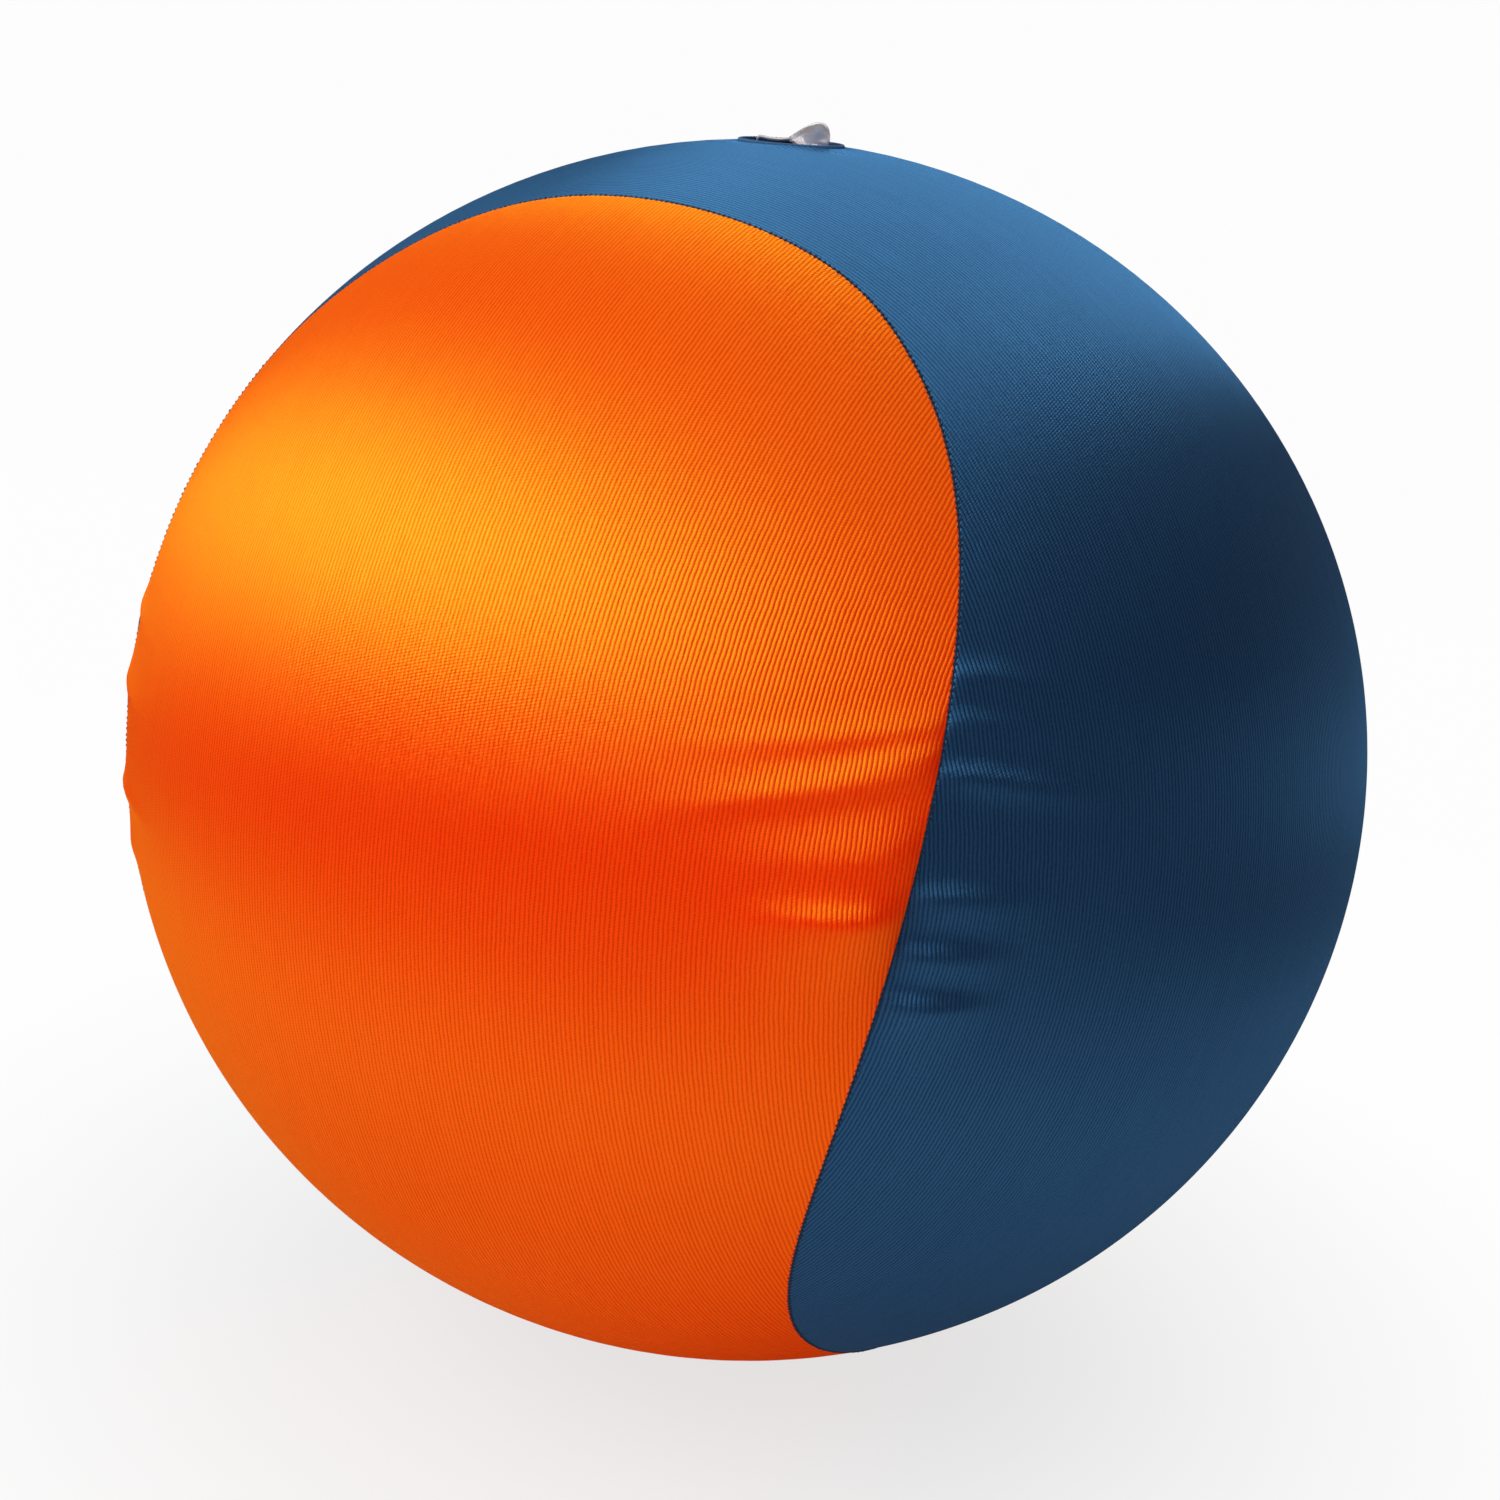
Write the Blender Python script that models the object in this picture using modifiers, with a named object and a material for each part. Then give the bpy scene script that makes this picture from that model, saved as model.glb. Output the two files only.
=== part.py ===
"""Fabric-covered beach ball, in metres with +Z up.

Two stretch-knit panels of the same outline, joined by one closed seam, are drawn over an inflatable
bladder of six gores and two end discs. The bladder's valve comes out at the top, on the Z axis, through
an edged opening in the blue panel. The ball stands at z = 0 on a small flat where the floor presses it.
"""

import math

import bmesh
import bpy
from mathutils import Matrix, Vector

# The ball's outside
EQUATOR_RADIUS = 0.150
POLE_RADIUS = 0.1474
FLAT_DEPTH = 0.001

# Fits shared by neighbouring pieces
GAP = 0.0003
COVER_ROOM = 0.0004

# The cover and its seam. The seam runs along (cos t + a cos 3t, sin t - a sin 3t, b sin 2t + c sin 6t)
FABRIC_THICKNESS = 0.0008
SEAM_THREAD_RADIUS = 0.0005
SEAM_LOBE_WIDTH = 0.4734
SEAM_RISE = 1.126
SEAM_LOBE_CORNER = 0.0937
COVER_PHASE_DEG = 13.0
COVER_TIP_DEG = -7.2

# The opening in the blue panel
OPENING_RADIUS = 0.0125
EDGING_RADIUS = 0.0009
EDGING_LIFT = 0.0007

# The bladder
FILM_THICKNESS = 0.0005
GORE_COUNT = 6
DISC_RADIUS = 0.024

# The valve, measured from the cover's outside at the top of the ball
STEM_RADIUS = 0.00425
STEM_WALL = 0.00125
STEM_ROOM = 0.00155
STEM_LENGTH = 0.016
STEM_SINK = 0.0005
STEM_CHAMFER = 0.0004
SKIRT_RADIUS = 0.0090
SKIRT_DIP = 0.0070
FLAP_THICKNESS = 0.0005
PLUG_HEAD_RADIUS = 0.0041
PLUG_EDGE_HEIGHT = 0.0030
PLUG_DOME_HEIGHT = 0.0024
PLUG_SHANK_LENGTH = 0.0058
PLUG_TIP_CHAMFER = 0.0006
TETHER_THICKNESS = 0.0007
TETHER_WIDTH = 0.0036
TETHER_FOLD_RADIUS = 0.0008
TETHER_ROOM = 0.0021

# Fineness of the meshes
FACET_LENGTH = 0.018
ROUND_STEPS = 32
OPENING_STEPS = 48
EDGING_SIDES = 6
DISC_STEPS = 3
SKIRT_STEPS = 6
DOME_STEPS = 8
TETHER_FOLD_STEPS = 6
SEAM_SAMPLES = 360
SMALLEST_ANGLE = 0.0001
SMALLEST_MERGE = 0.00001

# Worked out from the values above. A facet of the cover dips under the true surface by the facet sag
CENTRE_HEIGHT = POLE_RADIUS - FLAT_DEPTH
FACET_SAG = FACET_LENGTH**2 / (4 * EQUATOR_RADIUS)
BLADDER_DEPTH = FABRIC_THICKNESS + COVER_ROOM + FACET_SAG
SEAM_SETBACK = SEAM_THREAD_RADIUS + GAP
EDGING_RING_RADIUS = OPENING_RADIUS - GAP - EDGING_RADIUS
EDGING_INSIDE = EDGING_RING_RADIUS - EDGING_RADIUS
OPENING_SHIFT = EDGING_INSIDE - STEM_RADIUS - STEM_ROOM
STEM_BORE_RADIUS = STEM_RADIUS - STEM_WALL
TETHER_REACH = OPENING_SHIFT + EDGING_INSIDE - TETHER_ROOM
ORANGE_LOBE = math.radians(45)
BLUE_LOBE = math.radians(135)
COVER_TURN = Matrix.Rotation(math.radians(COVER_TIP_DEG), 3, "X") @ Matrix.Rotation(
    math.radians(COVER_PHASE_DEG), 3, "Z"
)


def srgb_to_linear(hex_colour):
    """The linear colour of a six-digit sRGB hex colour."""
    channels = [int(hex_colour[i : i + 2], 16) / 255 for i in (0, 2, 4)]
    return [c / 12.92 if c <= 0.04045 else ((c + 0.055) / 1.055) ** 2.4 for c in channels] + [1.0]


def make_material(name, hex_colour, roughness, metallic=0.0):
    material = bpy.data.materials.new(name)
    material.use_nodes = True
    shader = material.node_tree.nodes["Principled BSDF"]
    shader.inputs["Base Color"].default_value = srgb_to_linear(hex_colour)
    shader.inputs["Roughness"].default_value = roughness
    shader.inputs["Metallic"].default_value = metallic
    return material


def add_empty(name, location, parent=None, turn_about_y=0.0):
    empty = bpy.data.objects.new(name, None)
    empty.empty_display_size = EQUATOR_RADIUS / 10
    empty.location = location
    empty.rotation_euler = (0.0, turn_about_y, 0.0)
    empty.parent = parent
    ball_collection.objects.link(empty)
    return empty


def add_object(name, data, parent, material, collection=None):
    obj = bpy.data.objects.new(name, data)
    obj.parent = parent
    obj.data.materials.append(material)
    (collection or ball_collection).objects.link(obj)
    return obj


def finish_mesh(bm, name):
    """A mesh, shaded smooth except at its sharp edges."""
    mesh = bpy.data.meshes.new(name)
    bm.to_mesh(mesh)
    bm.free()
    mesh.shade_smooth()
    mesh.set_sharp_from_angle(angle=math.radians(40))
    return mesh


def shell_point(direction, depth):
    """The point under the ball's outside, at this depth, that lies in this direction from the centre."""
    wide = EQUATOR_RADIUS - depth
    return Vector((wide * direction.x, wide * direction.y, (POLE_RADIUS - depth) * direction.z))


def polar_direction(polar_angle, azimuth):
    ring = math.sin(polar_angle)
    return Vector((ring * math.cos(azimuth), ring * math.sin(azimuth), math.cos(polar_angle)))


def shell_height(radius, depth):
    """How high above the ball's centre the surface at this depth is, at this distance from the Z axis."""
    return (POLE_RADIUS - depth) * math.sqrt(1 - (radius / (EQUATOR_RADIUS - depth)) ** 2)


def seam_direction(t):
    """The direction from the ball's centre to the seam, before the cover is turned."""
    across = math.cos(t) + SEAM_LOBE_WIDTH * math.cos(3 * t)
    along = math.sin(t) - SEAM_LOBE_WIDTH * math.sin(3 * t)
    rise = SEAM_RISE * math.sin(2 * t) + SEAM_LOBE_CORNER * math.sin(6 * t)
    return Vector((across, along, rise)).normalized()


def set_back_direction(t, side):
    """The seam's direction, moved off the seam line by the set-back towards one side."""
    point = seam_direction(t)
    tangent = seam_direction(t + SMALLEST_ANGLE) - seam_direction(t - SMALLEST_ANGLE)
    inward = point.cross(tangent).normalized() * side
    return (point + inward * SEAM_SETBACK / EQUATOR_RADIUS).normalized()


def arc_between(start, end, share):
    """The direction part of the way along the great circle from start to end."""
    angle = start.angle(end, 0.0)
    if angle < SMALLEST_ANGLE:
        return start.copy()
    near = math.sin((1 - share) * angle)
    far = math.sin(share * angle)
    return ((start * near + end * far) / math.sin(angle)).normalized()


def seam_length():
    """The length of the seam on a ball of the equator's radius, along short chords."""
    points = [seam_direction(2 * math.pi * i / SEAM_SAMPLES) for i in range(SEAM_SAMPLES)]
    chords = [(points[i] - points[i - 1]).length for i in range(SEAM_SAMPLES)]
    return EQUATOR_RADIUS * sum(chords)


def mapped_grid(columns, rows, place):
    """A grid whose points place(u, v) sets, with u and v from 0 to 1, and whose faces point outwards."""
    bm = bmesh.new()
    bmesh.ops.create_grid(bm, x_segments=columns, y_segments=rows, size=0.5)
    for vert in bm.verts:
        vert.co = place(vert.co.x + 0.5, vert.co.y + 0.5)
    bmesh.ops.remove_doubles(bm, verts=bm.verts, dist=SMALLEST_MERGE)
    bm.normal_update()
    outwards = sum(face.normal.dot(face.calc_center_median()) for face in bm.faces)
    if outwards < 0:
        bmesh.ops.reverse_faces(bm, faces=bm.faces)
    return bm


def press_flat(bm, depth):
    """Cuts the surface where the floor meets it and moves what lies lower up to that level."""
    level = depth - CENTRE_HEIGHT
    geometry = bm.verts[:] + bm.edges[:] + bm.faces[:]
    bmesh.ops.bisect_plane(
        bm, geom=geometry, dist=SMALLEST_MERGE, plane_co=(0, 0, level), plane_no=(0, 0, 1)
    )
    for vert in bm.verts:
        vert.co.z = max(vert.co.z, level)


def add_wall(obj, thickness, offset=-1.0):
    solidify = obj.modifiers.new("wall", "SOLIDIFY")
    solidify.thickness = thickness
    solidify.offset = offset
    solidify.use_even_offset = True


def add_turned(name, profile, parent, material, closed):
    """A turned solid. A closed profile goes round a hollow; an open one starts and ends on the Z axis."""
    bm = bmesh.new()
    verts = [bm.verts.new((radius, 0.0, height)) for radius, height in profile]
    ends = verts[1:] + verts[:1] if closed else verts[1:]
    for start, end in zip(verts, ends):
        bm.edges.new((start, end))
    mesh = bpy.data.meshes.new(name)
    bm.to_mesh(mesh)
    bm.free()
    obj = add_object(name, mesh, parent, material)
    screw = obj.modifiers.new("turn", "SCREW")
    screw.steps = ROUND_STEPS
    screw.render_steps = ROUND_STEPS
    screw.use_merge_vertices = True
    screw.merge_threshold = SMALLEST_MERGE
    screw.use_smooth_shade = True
    return obj


def wall_profile(line, thickness):
    """The closed outline of a wall of this thickness along a line that runs outwards, top side first."""
    upper = []
    lower = []
    for i, point in enumerate(line):
        ahead = Vector(line[min(i + 1, len(line) - 1)])
        behind = Vector(line[max(i - 1, 0)])
        run = (ahead - behind).normalized()
        normal = Vector((-run.y, run.x)) * thickness / 2
        upper.append(Vector(point) + normal)
        lower.append(Vector(point) - normal)
    return [tuple(p) for p in upper + lower[::-1]]


def shell_line(inner_radius, outer_radius, depth, steps):
    """Points of the surface at this depth, from one distance off the Z axis to another."""
    radii = [inner_radius + (outer_radius - inner_radius) * i / steps for i in range(steps + 1)]
    return [(radius, shell_height(radius, depth)) for radius in radii]


# Panels
def panel_surface(lobe, side, rows):
    """The outside of one panel: rows between seam points that mirror each other across its spine."""

    def edge_pair(along):
        turn = math.pi * along
        return set_back_direction(lobe - turn, side), set_back_direction(lobe + turn, side)

    widest = max(start.angle(end, 0.0) for start, end in map(edge_pair, (i / rows for i in range(rows + 1))))
    columns = math.ceil(widest * EQUATOR_RADIUS / FACET_LENGTH)

    def place(across, along):
        start, end = edge_pair(along)
        return shell_point(COVER_TURN @ arc_between(start, end, across), 0.0)

    return mapped_grid(columns, rows, place)


def add_panel(name, lobe, side, material, rests_on_floor):
    rows = math.ceil(seam_length() / 2 / FACET_LENGTH)
    bm = panel_surface(lobe, side, rows)
    if rests_on_floor:
        press_flat(bm, 0.0)
    obj = add_object(name, finish_mesh(bm, name), ball_centre, material)
    add_wall(obj, FABRIC_THICKNESS)
    return obj


def add_seam_thread():
    points = 2 * math.ceil(seam_length() / 2 / FACET_LENGTH)
    curve = bpy.data.curves.new("seam_thread", "CURVE")
    curve.dimensions = "3D"
    curve.bevel_depth = SEAM_THREAD_RADIUS
    curve.bevel_resolution = 1
    spline = curve.splines.new("POLY")
    spline.points.add(points - 1)
    spline.use_cyclic_u = True
    for i, point in enumerate(spline.points):
        direction = COVER_TURN @ seam_direction(ORANGE_LOBE + 2 * math.pi * i / points)
        point.co = shell_point(direction, FABRIC_THICKNESS / 2).to_4d()
    return add_object("seam_thread", curve, ball_centre, thread_material)


def cut_opening(panel):
    """Cuts the round opening for the valve out of the panel."""
    bm = bmesh.new()
    bmesh.ops.create_cone(
        bm,
        cap_ends=True,
        segments=OPENING_STEPS,
        radius1=OPENING_RADIUS,
        radius2=OPENING_RADIUS,
        depth=4 * OPENING_RADIUS,
    )
    mesh = finish_mesh(bm, "opening_cutter")
    cutter = add_object("opening_cutter", mesh, opening_axis, edging_material, cutters)
    cutter.location.z = POLE_RADIUS
    cutter.hide_render = True
    cutter.display_type = "WIRE"
    cut = panel.modifiers.new("opening", "BOOLEAN")
    cut.operation = "DIFFERENCE"
    cut.object = cutter


def add_edging():
    bpy.ops.mesh.primitive_torus_add(
        major_segments=OPENING_STEPS,
        minor_segments=EDGING_SIDES,
        major_radius=EDGING_RING_RADIUS,
        minor_radius=EDGING_RADIUS,
    )
    torus = bpy.context.object
    mesh = torus.data
    bpy.data.objects.remove(torus)
    mesh.shade_smooth()
    obj = add_object("opening_edging", mesh, opening_axis, edging_material)
    obj.location.z = shell_height(EDGING_RING_RADIUS, BLADDER_DEPTH) + EDGING_LIFT + EDGING_RADIUS


# Bladder
def add_gore(number):
    """One gore, from disc to disc, with half a gap on each side."""
    wide = EQUATOR_RADIUS - BLADDER_DEPTH
    end_angle = math.asin((DISC_RADIUS + GAP) / wide)
    middle = 2 * math.pi * number / GORE_COUNT
    rows = math.ceil((math.pi - 2 * end_angle) * wide / FACET_LENGTH)
    columns = math.ceil(2 * math.pi / GORE_COUNT * wide / FACET_LENGTH / 2)

    def place(across, along):
        polar_angle = end_angle + (math.pi - 2 * end_angle) * along
        half = math.pi / GORE_COUNT - math.asin(GAP / 2 / (wide * math.sin(polar_angle)))
        return shell_point(polar_direction(polar_angle, middle + (2 * across - 1) * half), BLADDER_DEPTH)

    name = f"bladder_gore_{number + 1}"
    bm = mapped_grid(columns, rows, place)
    press_flat(bm, BLADDER_DEPTH)
    obj = add_object(name, finish_mesh(bm, name), ball_centre, film_material)
    add_wall(obj, FILM_THICKNESS)


def add_top_disc():
    """The disc that closes the gores' upper ends, with the hole that the valve's skirt fills."""
    middle = BLADDER_DEPTH + FILM_THICKNESS / 2
    line = shell_line(SKIRT_RADIUS + GAP, DISC_RADIUS, middle, DISC_STEPS)
    add_turned("bladder_top_disc", wall_profile(line, FILM_THICKNESS), ball_centre, film_material, True)


def add_bottom_disc():
    """The disc that closes the gores' lower ends, flat over the part that the floor presses."""
    wide = EQUATOR_RADIUS - BLADDER_DEPTH
    flat_level = BLADDER_DEPTH - CENTRE_HEIGHT
    flat_radius = wide * math.sqrt(1 - (flat_level / (POLE_RADIUS - BLADDER_DEPTH)) ** 2)
    radii = (DISC_RADIUS, min(flat_radius, DISC_RADIUS - GAP), 0.0)
    outside = [(radius, max(-shell_height(radius, BLADDER_DEPTH), flat_level)) for radius in radii]
    inside = [(radius, height + FILM_THICKNESS) for radius, height in reversed(outside)]
    add_turned("bladder_bottom_disc", inside + outside, ball_centre, film_material, False)


# Valve
def add_skirt():
    """The thin ring between the top disc and the stem, dished inwards while the valve is pushed in."""
    inner_radius = STEM_RADIUS + GAP + FILM_THICKNESS / 2
    top = shell_height(SKIRT_RADIUS, BLADDER_DEPTH + FILM_THICKNESS / 2) - POLE_RADIUS
    line = []
    for i in range(SKIRT_STEPS + 1):
        share = i / SKIRT_STEPS
        radius = inner_radius + (SKIRT_RADIUS - inner_radius) * share
        line.append((radius, top - SKIRT_DIP * (1 + math.cos(math.pi * share)) / 2))
    add_turned("valve_skirt", wall_profile(line, FILM_THICKNESS), valve_seat, clear_material, True)


def add_stem():
    top = -STEM_SINK
    bottom = top - STEM_LENGTH
    profile = [
        (STEM_BORE_RADIUS, top),
        (STEM_RADIUS - STEM_CHAMFER, top),
        (STEM_RADIUS, top - STEM_CHAMFER),
        (STEM_RADIUS, bottom),
        (STEM_BORE_RADIUS, bottom),
    ]
    add_turned("valve_stem", profile, stem_slide, clear_material, True)


def add_flap():
    """The check flap under the stem's lower end, hinged at its edge."""
    bm = bmesh.new()
    bmesh.ops.create_cone(
        bm,
        cap_ends=True,
        segments=ROUND_STEPS,
        radius1=STEM_RADIUS,
        radius2=STEM_RADIUS,
        depth=FLAP_THICKNESS,
    )
    bmesh.ops.translate(bm, verts=bm.verts, vec=(-STEM_RADIUS, 0.0, 0.0))
    obj = add_object("check_flap", finish_mesh(bm, "check_flap"), stem_slide, clear_material)
    obj.location = (STEM_RADIUS, 0.0, -STEM_SINK - STEM_LENGTH - GAP - FLAP_THICKNESS / 2)


def add_plug():
    """The stopper: a domed head over the stem's rim and a shank in its bore."""
    base = GAP - STEM_SINK
    shank_radius = STEM_BORE_RADIUS - GAP
    shank_end = base - PLUG_SHANK_LENGTH
    profile = []
    for i in range(DOME_STEPS + 1):
        angle = math.pi / 2 * i / DOME_STEPS
        height = PLUG_EDGE_HEIGHT + PLUG_DOME_HEIGHT * math.cos(angle)
        profile.append((PLUG_HEAD_RADIUS * math.sin(angle), height))
    profile += [
        (PLUG_HEAD_RADIUS, base),
        (shank_radius, base),
        (shank_radius, shank_end + PLUG_TIP_CHAMFER),
        (shank_radius - PLUG_TIP_CHAMFER, shank_end),
        (0.0, shank_end),
    ]
    add_turned("valve_plug", profile, plug_slide, clear_material, False)


def add_tether():
    """The strap from the stem's rim to the plug's head, folded back on itself beside the valve."""
    lower_height = GAP - BLADDER_DEPTH + TETHER_THICKNESS / 2
    upper_height = lower_height + 2 * TETHER_FOLD_RADIUS
    head_height = PLUG_EDGE_HEIGHT - TETHER_THICKNESS
    fold_x = TETHER_FOLD_RADIUS + TETHER_THICKNESS / 2 - TETHER_REACH
    line = [(-STEM_RADIUS - GAP, lower_height)]
    for i in range(TETHER_FOLD_STEPS + 1):
        angle = math.pi * i / TETHER_FOLD_STEPS
        sideways = TETHER_FOLD_RADIUS * math.sin(angle)
        raised = TETHER_FOLD_RADIUS * (1 - math.cos(angle))
        line.append((fold_x - sideways, lower_height + raised))
    middle_x = (fold_x - PLUG_HEAD_RADIUS) / 2
    line.append((middle_x, (3 * upper_height + head_height) / 4))
    line.append((-PLUG_HEAD_RADIUS - GAP, head_height))

    def place(across, along):
        x, z = line[round(along * (len(line) - 1))]
        return Vector((x, (across - 0.5) * TETHER_WIDTH, z))

    bm = mapped_grid(2, len(line) - 1, place)
    obj = add_object("plug_tether", finish_mesh(bm, "plug_tether"), stem_slide, clear_material)
    add_wall(obj, TETHER_THICKNESS, 0.0)


for old in list(bpy.data.objects):
    bpy.data.objects.remove(old)

ball_collection = bpy.data.collections.new("beach_ball")
cutters = bpy.data.collections.new("cutters")
bpy.context.scene.collection.children.link(ball_collection)
bpy.context.scene.collection.children.link(cutters)

orange_material = make_material("orange_satin_knit", "F25C05", 0.45)
blue_material = make_material("blue_satin_knit", "1F4E79", 0.45)
thread_material = make_material("dark_thread", "1A1E2E", 0.8)
edging_material = make_material("navy_edging", "14233C", 0.8)
film_material = make_material("bladder_film", "C9CCD2", 0.3)
clear_material = make_material("clear_valve_vinyl", "B9B2BD", 0.25)

ball_centre = add_empty("ball_centre", (0.0, 0.0, CENTRE_HEIGHT))
opening_turn = -math.asin(OPENING_SHIFT / EQUATOR_RADIUS)
opening_axis = add_empty("opening_axis", (0.0, 0.0, 0.0), ball_centre, opening_turn)
valve_seat = add_empty("valve_seat", (0.0, 0.0, POLE_RADIUS), ball_centre)
stem_slide = add_empty("stem_slide", (0.0, 0.0, 0.0), valve_seat)
plug_slide = add_empty("plug_slide", (0.0, 0.0, 0.0), stem_slide)

add_panel("orange_panel", ORANGE_LOBE, -1, orange_material, True)
blue_panel = add_panel("blue_panel", BLUE_LOBE, 1, blue_material, False)
cut_opening(blue_panel)
add_seam_thread()
add_edging()
for gore_number in range(GORE_COUNT):
    add_gore(gore_number)
add_top_disc()
add_bottom_disc()
add_skirt()
add_stem()
add_flap()
add_plug()
add_tether()
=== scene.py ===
# %% [markdown]
# This lesson dresses one beach ball: a vinyl bladder inside a sewn cover of two satin knit panels, with a clear valve
# plug at the top. The imported model is loaded first and stays as it is. Every piece made here is in metres, in the
# imported model's own frame, and most of them move with one of its bodies.

# %% Load the imported model
import math

import bmesh
import bpy
import numpy as np
from mathutils import Matrix, Quaternion, Vector
from mathutils.kdtree import KDTree


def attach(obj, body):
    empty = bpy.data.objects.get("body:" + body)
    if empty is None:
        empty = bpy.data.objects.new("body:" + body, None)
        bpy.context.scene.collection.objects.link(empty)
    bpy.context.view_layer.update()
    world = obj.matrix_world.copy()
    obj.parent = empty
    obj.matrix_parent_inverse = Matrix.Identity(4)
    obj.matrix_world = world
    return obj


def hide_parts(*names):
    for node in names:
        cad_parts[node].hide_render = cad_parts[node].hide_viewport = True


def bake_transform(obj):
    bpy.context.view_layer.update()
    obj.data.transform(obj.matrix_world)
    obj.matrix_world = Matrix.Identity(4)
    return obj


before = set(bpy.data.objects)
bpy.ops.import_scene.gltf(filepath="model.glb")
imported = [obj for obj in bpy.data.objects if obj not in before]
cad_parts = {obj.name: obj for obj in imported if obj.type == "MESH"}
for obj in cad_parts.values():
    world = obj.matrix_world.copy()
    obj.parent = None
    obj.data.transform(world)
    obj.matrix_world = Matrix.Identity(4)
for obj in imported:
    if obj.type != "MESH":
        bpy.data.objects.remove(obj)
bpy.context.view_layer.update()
bpy.ops.object.select_all(action="DESELECT")

# %% [markdown]
# The camera looks at the ball from the front and a little above, and is rolled a few degrees, because in the
# photograph the valve leans to the right. Its axes are worked out from the two angles, as a product photographer
# would set a tripod, and the lens follows from how large the ball stands in the picture.

# %% Camera
EQUATOR_RADIUS = 0.150
POLE_RADIUS = 0.1474
BALL_CENTRE = Vector((0, 0, 0.1464))
CAMERA_DISTANCE = 0.645
CAMERA_ELEVATION = math.radians(18.6)
CAMERA_ROLL = math.radians(6.05)

level_right = Vector((1, 0, 0))
level_up = Vector((0, math.sin(CAMERA_ELEVATION), math.cos(CAMERA_ELEVATION)))
camera_back = Vector((0, -math.cos(CAMERA_ELEVATION), math.sin(CAMERA_ELEVATION)))
camera_right = level_right * math.cos(CAMERA_ROLL) + level_up * math.sin(CAMERA_ROLL)
camera_up = level_up * math.cos(CAMERA_ROLL) - level_right * math.sin(CAMERA_ROLL)
bpy.ops.object.camera_add(location=BALL_CENTRE + camera_back * CAMERA_DISTANCE)
camera = bpy.context.object
camera.rotation_euler = Matrix((camera_right, camera_up, camera_back)).transposed().to_euler()
camera.data.sensor_width = 36
camera.data.lens = 62.3
camera.data.shift_x = 0.0019
camera.data.shift_y = -0.0011
bpy.context.scene.camera = camera
print("camera", round(camera.data.lens, 1), "mm lens,", CAMERA_DISTANCE, "m away")

# %% [markdown]
# All materials share two small helpers: one turns a hex colour into the linear values that a shader adds up, and
# one adds a node with its settings and links.

# %% Colour and node helpers
def linear(hex_colour):
    parts = [int(hex_colour[i : i + 2], 16) / 255 for i in (1, 3, 5)]
    return tuple(c / 12.92 if c <= 0.04045 else ((c + 0.055) / 1.055) ** 2.4 for c in parts) + (1.0,)


def add_node(tree, kind, inputs=None, **settings):
    node = tree.nodes.new(kind)
    for name, value in settings.items():
        setattr(node, name, value)
    for socket, value in (inputs or {}).items():
        if isinstance(value, bpy.types.NodeSocket):
            tree.links.new(value, node.inputs[socket])
        else:
            node.inputs[socket].default_value = value
    return node


def new_material(name):
    material = bpy.data.materials.new(name)
    material.use_nodes = True
    return material, material.node_tree, material.node_tree.nodes["Principled BSDF"]


print("white in linear values", linear("#FFFFFF"))

# %% [markdown]
# The ball stands on white seamless paper, a plain diffuse sheet with a faint tooth. In front, out of the picture, the
# floor's colour is painted grey and then dark, a painted shade that stands in for the unlit studio which the satin
# mirrors. One large plane does for all of it, because its edges are never seen, and its colour changes with the
# distance from the ball.

# %% Paper floor
# metres from the ball's foot: where the white ends, where the painted grey shade starts and ends, and where the
# painted dark shade is full
SHADE_START, GREY_SHADE_START, GREY_SHADE_END, DARK_SHADE_START = 0.28, 0.38, 0.60, 0.82
FRONT_WAYS = ((0.0, -1.0, 0.0), (-0.53, -0.848, 0.0), (0.53, -0.848, 0.0))
SIDE_SHARE = 0.75
FLOOR_GAP = 0.0004
TOOTH_SCALE = 900
bpy.ops.mesh.primitive_plane_add(size=40, location=(0, 0, -FLOOR_GAP))
floor = bpy.context.object
floor.name = "seamless_paper"
paper, tree, shader = new_material("white seamless paper")
shader.inputs["Roughness"].default_value = 0.9
shader.inputs["Specular IOR Level"].default_value = 0.1
place = add_node(tree, "ShaderNodeTexCoord")
tooth = add_node(tree, "ShaderNodeTexNoise", {"Vector": place.outputs["Object"], "Scale": TOOTH_SCALE,
                 "Detail": 2})
paper_tone = add_node(tree, "ShaderNodeValToRGB", {"Fac": tooth.outputs["Fac"]})
paper_tone.color_ramp.elements[0].color = linear("#BABABA")
paper_tone.color_ramp.elements[1].color = linear("#C4C4C4")
reach = add_node(tree, "ShaderNodeVectorMath", {0: place.outputs["Object"]}, operation="LENGTH")
ahead, left_ahead, right_ahead = (
    add_node(tree, "ShaderNodeVectorMath", {0: place.outputs["Object"], 1: way}, operation="DOT_PRODUCT")
    for way in FRONT_WAYS)
front = add_node(tree, "ShaderNodeMath", {0: left_ahead.outputs["Value"], 1: right_ahead.outputs["Value"]},
                 operation="MAXIMUM")
front = add_node(tree, "ShaderNodeMath", {0: ahead.outputs["Value"], 1: front.outputs[0]}, operation="MAXIMUM")
spread = add_node(tree, "ShaderNodeMath", {0: reach.outputs["Value"], 1: SIDE_SHARE}, operation="MULTIPLY")
spread = add_node(tree, "ShaderNodeMath", {0: spread.outputs[0], 1: front.outputs[0]}, operation="MAXIMUM")
# painted shade: the floor turns grey and then dark ahead of the ball and to its sides, for the satin to mirror
painted_shade_ahead = add_node(tree, "ShaderNodeValToRGB", {"Fac": spread.outputs[0]})
paper_stop, dark_shade_stop = painted_shade_ahead.color_ramp.elements
paper_stop.position, dark_shade_stop.position = SHADE_START, DARK_SHADE_START
paper_stop.color, dark_shade_stop.color = linear("#FFFFFF"), linear("#303030")
for position in (GREY_SHADE_START, GREY_SHADE_END):
    painted_shade_ahead.color_ramp.elements.new(position).color = linear("#A8A8A8")
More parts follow.
